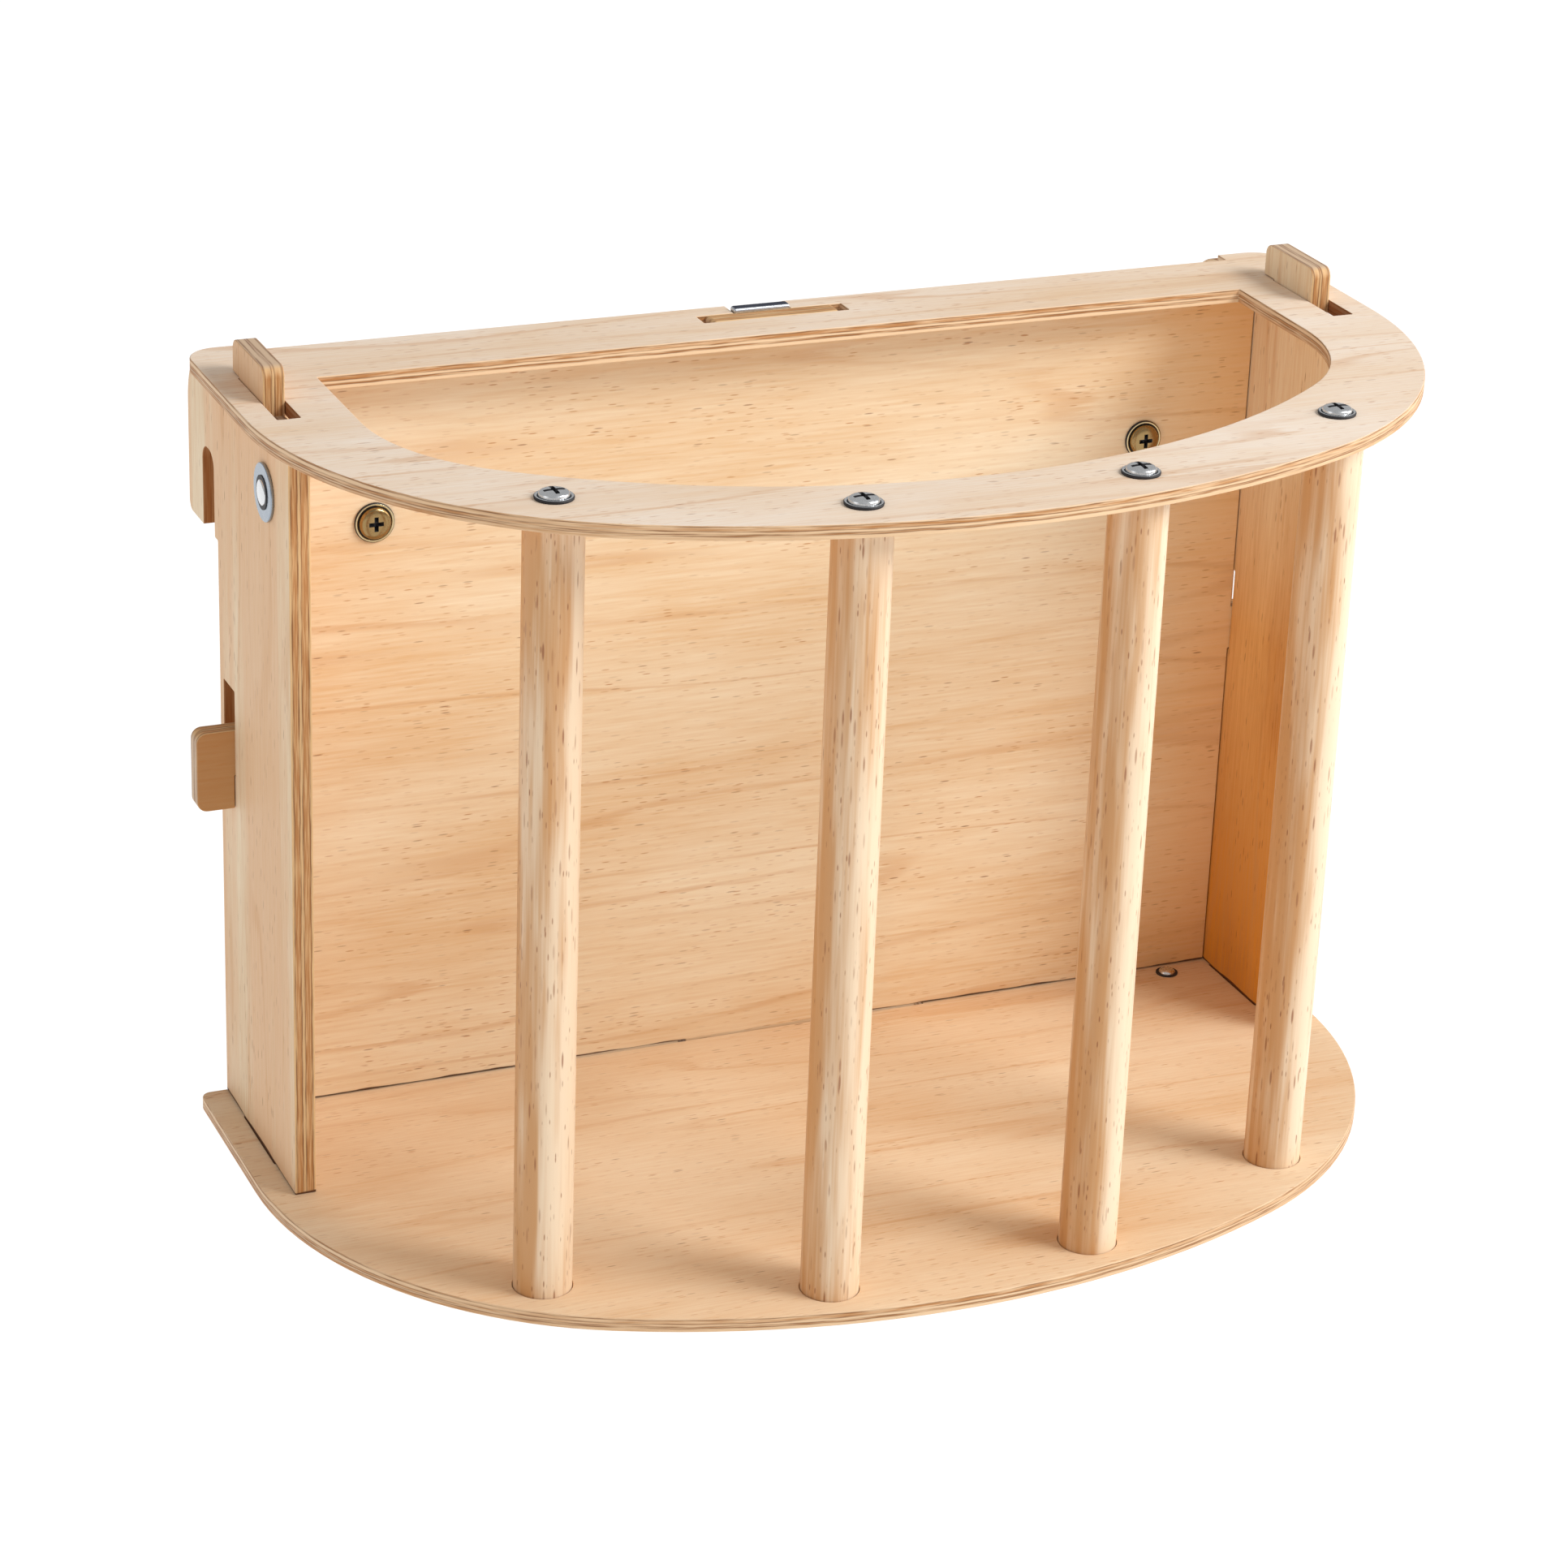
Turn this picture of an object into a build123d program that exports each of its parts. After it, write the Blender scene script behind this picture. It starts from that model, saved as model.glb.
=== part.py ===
"""Hay feeder box: a D-shaped slatted hay rack for a cage wall, made of tabbed plywood boards.

Millimetres, +Z up. The origin is the middle of the base board's rear edge, on its underside.
The feeder hangs with its rear (+Y) against the cage wall, and the slatted front faces -Y.
"""

import os
from math import atan2, cos, sin

from build123d import *

os.makedirs("parts", exist_ok=True)

# ---- Driving dimensions ------------------------------------------------------------------

# Plywood stock and the fits between boards
plate_t = 4.0  # base board and top ring
board_t = 6.0  # side boards and back board
slot_gap = 0.15  # clearance on each face of a tab in its slot
seat_gap = 0.2  # clearance between a hooked lip and the board it grips

# The two D-shaped plates, base and top ring
plate_half_width = 167.0
plate_front = 180.0  # from the rear edge to the middle of the curved front
plate_straight = 56.0  # length of the straight sides before the curve starts
plate_shoulder_share = 0.91  # shoulder arc's radius, as a share of the curve's depth
base_corner_r = 3.0
base_to_ring = 220.0  # clear height between base and ring

# Top ring
ring_rail_rear = -1.0  # rear edge between the ears
ear_rear = 4.0
ear_width = 18.0
ear_corner_r = 9.0
ring_side_width = 28.0
ring_front_width = 27.5
opening_rear = 28.5
opening_straight = 67.5
opening_shoulder_share = 0.67

# Side boards
side_inset = 8.0  # from the plates' side edges to the board's outer face
side_depth = 67.5
hook_root = 3.0  # solid board behind the rear edge, before the hook's slot
hook_gap = 11.0  # the slot that drops over the top of a cage wall
hook_finger = 14.0
hook_drop = 50.5  # from the ring's underside to the finger's lower end
hook_slot_height = 24.0
hook_slot_r = 4.5
hook_top_r = 18.0
hook_tip_r = 3.0
top_tab_rear = 17.5
top_tab_length = 28.0
top_tab_height = 9.6  # above the ring
tab_lip = 6.0  # how far a lip hooks past the end of its slot
tab_corner_r = 3.0
top_slot_spare = 13.5  # open end of the ring's slot, for hooking the tab in
bottom_tab_rear = 18.0
bottom_tab_length = 30.0

# Back board
back_front = 14.0  # front face, from the rear edge of the base
back_gap = 0.3  # around the board, to its neighbours
back_top_tab_half = 19.5
back_tab_corner_r = 1.5
back_bottom_tab_half = 21.5
top_slot_end_gap = 2.5  # beyond each end of the top tab
bottom_slot_end_gap = 35.0  # beyond each end of the bottom tab
tenon_bottom = 99.0
tenon_height = 23.5
tenon_reach = 11.0  # beyond the side board's outer face
tenon_lip = 10.0  # how far the tenon hooks down outside the side board
mortise_spare_rear = 4.5  # open width behind the tenon
mortise_spare_top = 11.5  # open height above the dropped tenon

# Dowels and their screws
dowel_r = 8.0
dowel_socket_gap = 0.15
outer_dowel_inset = 56.0  # from the plates' side edges
outer_dowel_setback = 44.0  # from the plates' front
inner_dowel_spacing = 77.4
inner_dowel_setback = 17.0
screw_head_r = 5.2
screw_head_h = 2.3
dowel_screw_r = 2.0
dowel_screw_length = 28.0
screw_hole_gap = 0.3
pilot_gap = 0.05

# Cage clamps: a screw through the back board with a washer and a wing nut behind it
clamp_inset = 34.5  # from the side board's inner face
clamp_drop = 44.5  # from the ring's underside
clamp_head_r = 5.8
clamp_screw_r = 2.5
clamp_screw_length = 30.0
clamp_washer_r = 10.0
clamp_washer_t = 1.2
cage_bar_room = 13.0  # between the back board and the washer
running_gap = 0.08
nut_hub_r = 4.6
nut_hub_h = 4.5
nut_wing_span = 25.0
nut_wing_root = 2.3  # from the hub's axis, where the wings grow out of it
nut_wing_bend = 7.0  # from the hub's axis, where their inner edges turn upright
nut_wing_t = 1.8
nut_wing_h = 9.0

# Anchor screws with washers, in the side boards
anchor_setback = 20.5  # from the side board's front edge
anchor_drop = 20.0  # from the ring's underside
anchor_washer_r = 8.0
anchor_washer_t = 1.0
anchor_head_r = 4.7
anchor_head_h = 0.9
anchor_screw_r = 2.0
anchor_screw_grip = 5.0  # depth of its hole in the side board

# Small screw in the right rear corner of the base
base_screw_inset = 29.5  # from the base's side edge
base_screw_y = 19.0
base_head_r = 3.4
base_head_h = 1.6
base_screw_r = 1.7

# Steel hanger strap behind the middle of the back board
strap_x = -2.0
strap_width = 17.0
strap_t = 3.5
strap_corner_r = 3.0
strap_above = 1.2
strap_length = 46.0
strap_screw_spacing = 22.0
strap_screw_drop = 16.0  # first screw, from the ring's top face
strap_head_r = 3.0
strap_head_h = 1.4
strap_screw_r = 1.5
strap_screw_grip = 4.0  # length of screw in the back board

# The cross recess in the larger screw heads, as shares of the head's radius and height
recess_reach = 0.5
recess_width = 0.15
recess_share = 0.6

# ---- Levels and places worked out from them ----------------------------------------------

ring_under = plate_t + base_to_ring
ring_top = ring_under + plate_t
side_outer_x = plate_half_width - side_inset
side_inner_x = side_outer_x - board_t
side_mid_x = side_outer_x - board_t / 2
back_rear = back_front - board_t
tab_neck_rear = top_tab_rear + tab_lip
tab_front = top_tab_rear + top_tab_length
tenon_top = tenon_bottom + tenon_height
neck_bottom = tenon_bottom + tenon_lip
hook_bottom = ring_under - hook_drop
finger_front = hook_root + hook_gap
hook_rear = finger_front + hook_finger
slot_top = hook_bottom + hook_slot_height
clamp_x = side_inner_x - clamp_inset
clamp_z = ring_under - clamp_drop
clamp_washer_y = cage_bar_room - back_rear
clamp_nut_y = clamp_washer_y + clamp_washer_t
anchor_y = side_depth - anchor_setback
anchor_z = ring_under - anchor_drop
opening_half_width = plate_half_width - ring_side_width
base_screw_x = plate_half_width - base_screw_inset
strap_screw_z = [ring_top - strap_screw_drop - step * strap_screw_spacing for step in (0, 1)]
SIDES = {"left": -1, "right": 1}
outer_dowel_x = plate_half_width - outer_dowel_inset
outer_dowel_y = outer_dowel_setback - plate_front
inner_dowel_x = inner_dowel_spacing / 2
inner_dowel_y = inner_dowel_setback - plate_front
DOWELS = {
    "left_outer": (-outer_dowel_x, outer_dowel_y),
    "left_inner": (-inner_dowel_x, inner_dowel_y),
    "right_inner": (inner_dowel_x, inner_dowel_y),
    "right_outer": (outer_dowel_x, outer_dowel_y),
}


# ---- Helpers -----------------------------------------------------------------------------


def front_curve(half_width, straight, front, shoulder_share):
    """The rounded front of a D: a shoulder arc on each side and a flatter arc between them."""
    reach = front - straight
    shoulder_r = shoulder_share * reach
    shoulder_x = half_width - shoulder_r
    nose_r = (half_width**2 + reach**2 - 2 * half_width * shoulder_r) / (
        2 * (reach - shoulder_r)
    )
    lean = atan2(shoulder_x, nose_r - reach)
    meet_x = shoulder_x + shoulder_r * sin(lean)
    meet_y = -straight - shoulder_r * cos(lean)
    shoulder = TangentArc((half_width, -straight), (meet_x, meet_y), tangent=(0, -1))
    ThreePointArc((meet_x, meet_y), (0, -front), (-meet_x, meet_y))
    mirror(shoulder, about=Plane.YZ)


def cut_rectangle(x_from, x_to, y_from, y_to):
    """A rectangular hole in the sketch being built, given by its four edges."""
    with Locations(((x_from + x_to) / 2, (y_from + y_to) / 2)):
        Rectangle(abs(x_to - x_from), abs(y_to - y_from), mode=Mode.SUBTRACT)


def add_rectangle(x_from, x_to, y_from, y_to):
    """A rectangle joined to the sketch being built, given by its four edges."""
    with Locations(((x_from + x_to) / 2, (y_from + y_to) / 2)):
        Rectangle(abs(x_to - x_from), abs(y_to - y_from))


def rod(plane, radius, length):
    """A round rod or disc that stands on the plane, or reaches below it where length is less than 0."""
    with BuildSketch(plane) as rod_end:
        Circle(radius)
    extrude(rod_end.sketch, amount=length)


def cross_head(plane, head_r, head_h):
    """A round screw head on the plane, with a cross recess in its top."""
    rod(plane, head_r, head_h)
    with BuildSketch(plane.offset(head_h)) as cross:
        Rectangle(2 * recess_reach * head_r, 2 * recess_width * head_r)
        Rectangle(2 * recess_width * head_r, 2 * recess_reach * head_r)
    extrude(cross.sketch, amount=-recess_share * head_h, mode=Mode.SUBTRACT)


def write(part_builder, label):
    """Labels a finished piece and writes it under its own name."""
    part_builder.part.label = label
    export_step(part_builder.part, f"parts/{label}.step")


# ---- Base board --------------------------------------------------------------------------

with BuildPart() as base_board:
    with BuildSketch(Plane.XY):
        with BuildLine():
            front_curve(plate_half_width, plate_straight, plate_front, plate_shoulder_share)
            Polyline(
                (-plate_half_width, -plate_straight),
                (-plate_half_width, 0),
                (plate_half_width, 0),
                (plate_half_width, -plate_straight),
            )
        make_face()
        fillet(vertices().group_by(Axis.Y)[-1], radius=base_corner_r)
        for side in SIDES.values():
            cut_rectangle(
                side * (side_inner_x - slot_gap),
                side * (side_outer_x + slot_gap),
                -bottom_tab_rear + slot_gap,
                -bottom_tab_rear - bottom_tab_length - slot_gap,
            )
        cut_rectangle(
            -back_bottom_tab_half - bottom_slot_end_gap,
            back_bottom_tab_half + bottom_slot_end_gap,
            -back_rear + slot_gap,
            -back_front - slot_gap,
        )
        with Locations(*DOWELS.values()):
            Circle(dowel_r + dowel_socket_gap, mode=Mode.SUBTRACT)
        with Locations((base_screw_x, -base_screw_y)):
            Circle(base_screw_r + pilot_gap, mode=Mode.SUBTRACT)
    extrude(amount=plate_t)
write(base_board, "base_board")

# ---- Top ring ----------------------------------------------------------------------------

with BuildPart() as top_ring:
    with BuildSketch(Plane.XY.offset(ring_under)):
        with BuildLine():
            front_curve(plate_half_width, plate_straight, plate_front, plate_shoulder_share)
            Polyline(
                (-plate_half_width, -plate_straight),
                (-plate_half_width, ear_rear),
                (ear_width - plate_half_width, ear_rear),
                (ear_width - plate_half_width, ring_rail_rear),
                (plate_half_width - ear_width, ring_rail_rear),
                (plate_half_width - ear_width, ear_rear),
                (plate_half_width, ear_rear),
                (plate_half_width, -plate_straight),
            )
        make_face()
        ear_corners = vertices().group_by(Axis.Y)[-1].sort_by(Axis.X)
        fillet([ear_corners[0], ear_corners[-1]], radius=ear_corner_r)
        with BuildSketch(mode=Mode.SUBTRACT):
            with BuildLine():
                front_curve(
                    opening_half_width,
                    opening_straight,
                    plate_front - ring_front_width,
                    opening_shoulder_share,
                )
                Polyline(
                    (-opening_half_width, -opening_straight),
                    (-opening_half_width, -opening_rear),
                    (opening_half_width, -opening_rear),
                    (opening_half_width, -opening_straight),
                )
            make_face()
        for side in SIDES.values():
            cut_rectangle(
                side * (side_inner_x - slot_gap),
                side * (side_outer_x + slot_gap),
                -tab_neck_rear + slot_gap,
                -tab_front - top_slot_spare,
            )
        cut_rectangle(
            -back_top_tab_half - top_slot_end_gap,
            back_top_tab_half + top_slot_end_gap,
            -back_rear + slot_gap,
            -back_front - slot_gap,
        )
        cut_rectangle(
            strap_x - strap_width / 2 - slot_gap,
            strap_x + strap_width / 2 + slot_gap,
            -back_rear - slot_gap,
            ring_rail_rear,
        )
        with Locations(*DOWELS.values()):
            Circle(dowel_screw_r + screw_hole_gap, mode=Mode.SUBTRACT)
    extrude(amount=plate_t)
write(top_ring, "top_ring")

# ---- Side boards -------------------------------------------------------------------------

for name, side in SIDES.items():
    with BuildPart() as side_board:
        with BuildSketch(Plane.YZ.offset(side * side_mid_x)):
            with BuildLine():
                Polyline(
                    (0, plate_t),
                    (-side_depth, plate_t),
                    (-side_depth, ring_under),
                    (hook_rear, ring_under),
                    (hook_rear, hook_bottom),
                    (finger_front, hook_bottom),
                    (finger_front, slot_top),
                    (hook_root, slot_top),
                    (hook_root, hook_bottom),
                    (0, hook_bottom),
                    close=True,
                )
            make_face()
            fillet(vertices().group_by(Axis.X)[-1].sort_by(Axis.Y)[0], radius=hook_tip_r)
            fillet(vertices().group_by(Axis.X)[-1].sort_by(Axis.Y)[-1], radius=hook_top_r)
            slot_corners = vertices().filter_by_position(
                Axis.Y, slot_top - seat_gap, slot_top + seat_gap
            )
            fillet(slot_corners, radius=hook_slot_r)
            add_rectangle(-tab_neck_rear, -tab_front, ring_under - board_t, ring_top + seat_gap)
            with BuildSketch():
                with Locations(
                    (
                        -top_tab_rear - top_tab_length / 2,
                        ring_top + (seat_gap + top_tab_height) / 2,
                    )
                ):
                    Rectangle(top_tab_length, top_tab_height - seat_gap)
                fillet(vertices().group_by(Axis.Y)[-1], radius=tab_corner_r)
            add_rectangle(
                -bottom_tab_rear,
                -bottom_tab_rear - bottom_tab_length,
                seat_gap,
                plate_t + board_t,
            )
            cut_rectangle(
                mortise_spare_rear - back_rear,
                -back_front - slot_gap,
                neck_bottom - slot_gap,
                tenon_top + mortise_spare_top,
            )
        extrude(amount=board_t / 2, both=True)
        with BuildSketch(Plane((side * side_outer_x, -anchor_y, anchor_z), z_dir=(side, 0, 0))):
            Circle(anchor_screw_r + pilot_gap)
        extrude(amount=-anchor_screw_grip, mode=Mode.SUBTRACT)
    write(side_board, f"{name}_side_board")

# ---- Back board --------------------------------------------------------------------------

with BuildPart() as back_board:
    with BuildSketch(Plane.XZ.offset(back_front)):
        add_rectangle(
            -side_inner_x + back_gap,
            side_inner_x - back_gap,
            plate_t + back_gap,
            ring_under - back_gap,
        )
        with BuildSketch():
            add_rectangle(
                -back_top_tab_half,
                back_top_tab_half,
                ring_under - board_t,
                ring_top,
            )
            fillet(vertices().group_by(Axis.Y)[-1], radius=back_tab_corner_r)
        add_rectangle(
            -back_bottom_tab_half,
            back_bottom_tab_half,
            seat_gap,
            plate_t + board_t,
        )
        for side in SIDES.values():
            lip_inner = side_outer_x + seat_gap
            add_rectangle(
                side * (side_inner_x - board_t),
                side * (lip_inner + tab_corner_r),
                neck_bottom,
                tenon_top,
            )
            with BuildSketch():
                add_rectangle(
                    side * lip_inner,
                    side * (side_outer_x + tenon_reach),
                    tenon_bottom,
                    tenon_top,
                )
                lip_corners = vertices().group_by(Axis.X)[-1 if side > 0 else 0]
                fillet(lip_corners, radius=tab_corner_r)
        with Locations((-clamp_x, clamp_z), (clamp_x, clamp_z)):
            Circle(clamp_screw_r + screw_hole_gap, mode=Mode.SUBTRACT)
    extrude(amount=-board_t)
    with BuildSketch(Plane.XZ.offset(back_rear)):
        with Locations(*[(strap_x, level) for level in strap_screw_z]):
            Circle(strap_screw_r + pilot_gap)
    extrude(amount=strap_screw_grip, mode=Mode.SUBTRACT)
write(back_board, "back_board")

# ---- Dowels and the screws that hold the ring on them ------------------------------------

for name, (x, y) in DOWELS.items():
    with BuildPart() as dowel:
        with BuildSketch(Plane((x, y, seat_gap))):
            Circle(dowel_r)
        extrude(amount=ring_under - seat_gap)
        with BuildSketch(Plane((x, y, ring_under))):
            Circle(dowel_screw_r + pilot_gap)
        extrude(amount=plate_t - dowel_screw_length, mode=Mode.SUBTRACT)
    write(dowel, f"{name}_dowel")

    with BuildPart() as dowel_screw:
        head_plane = Plane((x, y, ring_top))
        cross_head(head_plane, screw_head_r, screw_head_h)
        rod(head_plane, dowel_screw_r, pilot_gap - dowel_screw_length)
    write(dowel_screw, f"{name}_dowel_screw")

# ---- Cage clamps -------------------------------------------------------------------------

for name, side in SIDES.items():
    with BuildPart() as clamp_screw:
        head_plane = Plane((side * clamp_x, -back_front, clamp_z), z_dir=(0, -1, 0))
        cross_head(head_plane, clamp_head_r, screw_head_h)
        rod(head_plane, clamp_screw_r, -clamp_screw_length)
    write(clamp_screw, f"{name}_clamp_screw")

    with BuildPart() as clamp_washer:
        with BuildSketch(Plane((side * clamp_x, clamp_washer_y, clamp_z), z_dir=(0, 1, 0))):
            Circle(clamp_washer_r)
            Circle(clamp_screw_r + running_gap, mode=Mode.SUBTRACT)
        extrude(amount=clamp_washer_t)
    write(clamp_washer, f"{name}_clamp_washer")

    with BuildPart() as wing_nut:
        nut_plane = Plane((side * clamp_x, clamp_nut_y, clamp_z), z_dir=(0, 1, 0))
        with BuildSketch(nut_plane):
            Circle(nut_hub_r)
        extrude(amount=nut_hub_h)
        with BuildSketch(Plane((side * clamp_x, clamp_nut_y, clamp_z), z_dir=(0, 0, 1))):
            for wing in (-1, 1):
                with BuildSketch():
                    with BuildLine():
                        Polyline(
                            (wing * nut_wing_root, nut_wing_t / 2),
                            (wing * nut_hub_r, nut_wing_t / 2),
                            (wing * nut_wing_span / 2, nut_wing_h / 2),
                            (wing * nut_wing_span / 2, nut_wing_h),
                            (wing * nut_wing_bend, nut_wing_h),
                            (wing * nut_wing_root, nut_hub_h),
                            close=True,
                        )
                    make_face()
                    tips = vertices().group_by(Axis.Y)[-1]
                    fillet(tips, radius=nut_wing_t)
        extrude(amount=nut_wing_t / 2, both=True)
        with BuildSketch(nut_plane):
            Circle(clamp_screw_r + running_gap)
        extrude(amount=nut_wing_h, mode=Mode.SUBTRACT)
    write(wing_nut, f"{name}_wing_nut")

# ---- Anchor screws and washers on the side boards ----------------------------------------

for name, side in SIDES.items():
    outward = (side, 0, 0)
    with BuildPart() as anchor_washer:
        with BuildSketch(Plane((side * side_outer_x, -anchor_y, anchor_z), z_dir=outward)):
            Circle(anchor_washer_r)
            Circle(anchor_screw_r + screw_hole_gap, mode=Mode.SUBTRACT)
        extrude(amount=anchor_washer_t)
    write(anchor_washer, f"{name}_anchor_washer")

    with BuildPart() as anchor_screw:
        under_head = side * (side_outer_x + anchor_washer_t)
        head_plane = Plane((under_head, -anchor_y, anchor_z), z_dir=outward)
        cross_head(head_plane, anchor_head_r, anchor_head_h)
        rod(head_plane, anchor_screw_r, seat_gap - anchor_washer_t - anchor_screw_grip)
    write(anchor_screw, f"{name}_anchor_screw")

# ---- Base screw --------------------------------------------------------------------------

with BuildPart() as base_screw:
    head_plane = Plane((base_screw_x, -base_screw_y, plate_t))
    rod(head_plane, base_head_r, base_head_h)
    rod(head_plane, base_screw_r, -plate_t)
write(base_screw, "base_screw")

# ---- Hanger strap ------------------------------------------------------------------------

strap_plane = Plane.XZ.offset(back_rear)

with BuildPart() as hanger_strap:
    with BuildSketch(strap_plane):
        add_rectangle(
            strap_x - strap_width / 2,
            strap_x + strap_width / 2,
            ring_top + strap_above - strap_length,
            ring_top + strap_above,
        )
        with Locations(*[(strap_x, level) for level in strap_screw_z]):
            Circle(strap_screw_r + screw_hole_gap, mode=Mode.SUBTRACT)
    extrude(amount=-strap_t)
    fillet(edges().filter_by(Axis.Y).group_by(Axis.Z)[0], radius=strap_corner_r)
write(hanger_strap, "hanger_strap")

with BuildPart() as strap_screws:
    for level in strap_screw_z:
        head_plane = Plane((strap_x, strap_t - back_rear, level), z_dir=(0, 1, 0))
        rod(head_plane, strap_head_r, strap_head_h)
        rod(head_plane, strap_screw_r, seat_gap - strap_t - strap_screw_grip)
write(strap_screws, "strap_screws")
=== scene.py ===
"""Hay feeder box: dresses a tabbed plywood hay rack with its woods, screws and cage clamps.
"""

import math
from typing import Callable, NamedTuple

import bmesh
import bpy
from mathutils import Matrix, Vector


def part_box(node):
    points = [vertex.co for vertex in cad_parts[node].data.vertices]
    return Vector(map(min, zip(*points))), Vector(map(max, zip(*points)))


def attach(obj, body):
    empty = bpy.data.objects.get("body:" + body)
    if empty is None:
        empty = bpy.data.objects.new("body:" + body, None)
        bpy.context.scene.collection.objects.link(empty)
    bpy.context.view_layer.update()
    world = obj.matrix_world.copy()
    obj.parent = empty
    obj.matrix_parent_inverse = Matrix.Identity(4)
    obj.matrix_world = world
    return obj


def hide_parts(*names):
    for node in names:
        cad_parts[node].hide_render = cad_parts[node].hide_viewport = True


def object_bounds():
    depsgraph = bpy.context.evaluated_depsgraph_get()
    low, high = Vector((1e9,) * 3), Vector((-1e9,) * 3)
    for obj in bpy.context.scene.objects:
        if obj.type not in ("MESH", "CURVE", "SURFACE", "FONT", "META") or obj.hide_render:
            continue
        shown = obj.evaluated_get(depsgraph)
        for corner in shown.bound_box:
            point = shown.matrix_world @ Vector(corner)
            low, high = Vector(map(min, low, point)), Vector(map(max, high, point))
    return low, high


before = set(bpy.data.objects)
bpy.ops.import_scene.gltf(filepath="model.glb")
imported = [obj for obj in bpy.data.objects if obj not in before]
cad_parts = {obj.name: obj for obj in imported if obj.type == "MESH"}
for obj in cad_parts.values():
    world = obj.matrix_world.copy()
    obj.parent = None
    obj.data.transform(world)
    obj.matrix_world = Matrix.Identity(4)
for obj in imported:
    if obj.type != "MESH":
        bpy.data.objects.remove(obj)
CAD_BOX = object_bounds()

bl_info = {
    "name": "Hay Feeder Box",
    "version": (1, 0, 0),
    "blender": (4, 5, 0),
    "location": "View3D > Sidebar > Hay Feeder",
    "description": "Plywood, dowels, screws, cage clamps and studio of a hay feeder box",
    "category": "Add Mesh",
}

MM = 0.001
X, Y, Z = range(3)
SIDES = {"left": -1, "right": 1}
DOWELS = ("left_outer", "left_inner", "right_inner", "right_outer")
COLLAR, PAINTED_SHADE, DOME = range(3)  # material numbers on a turned screw head
CREASE = math.radians(35)  # an edge that bends by more stays sharp, or gets an arris


def linear(code):
    """An sRGB hex colour as the linear numbers that shaders take."""
    channels = [int(code[start : start + 2], 16) / 255 for start in (1, 3, 5)]
    return tuple(
        c / 12.92 if c <= 0.04045 else ((c + 0.055) / 1.055) ** 2.4 for c in channels
    )


# ---- What a user would change ------------------------------------------------------------


def size(name, description, millimetres):
    """A length property of the feeder, given in millimetres and kept in metres."""
    return bpy.props.FloatProperty(
        name=name, description=description, default=millimetres * MM, unit="LENGTH"
    )


def colour(name, description, code):
    """A colour property of the feeder, given as sRGB hex and kept linear."""
    return bpy.props.FloatVectorProperty(
        name=name, description=description, default=linear(code), subtype="COLOR"
    )


class FeederSizes(bpy.types.PropertyGroup):
    """Lengths of the details that the CAD solids leave out."""

    board_arris: size("Board arris", "Width of the sanded arris on plywood edges", 0.3)
    strap_arris: size("Strap arris", "Width of the rounded edge of the hanger strap", 0.7)
    collar_height: size("Collar height", "Height of the collar under a screw's dome", 0.9)
    collar_width: size("Collar width", "Width of the collar outside the groove", 0.95)
    groove_width: size("Groove width", "Width of the groove between collar and dome", 0.22)
    recess_width: size("Recess width", "Width of a wing of the cross recess", 1.3)
    thread_pitch: size("Thread pitch", "Pitch of the clamp screws", 0.8)
    thread_depth: size("Thread depth", "Depth of the clamp screws' thread", 0.35)
    washer_arris: size("Washer arris", "Rounding of a washer's rim", 0.3)
    wing_arris: size("Wing arris", "Rounding of a wing nut's wings", 0.45)


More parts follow.
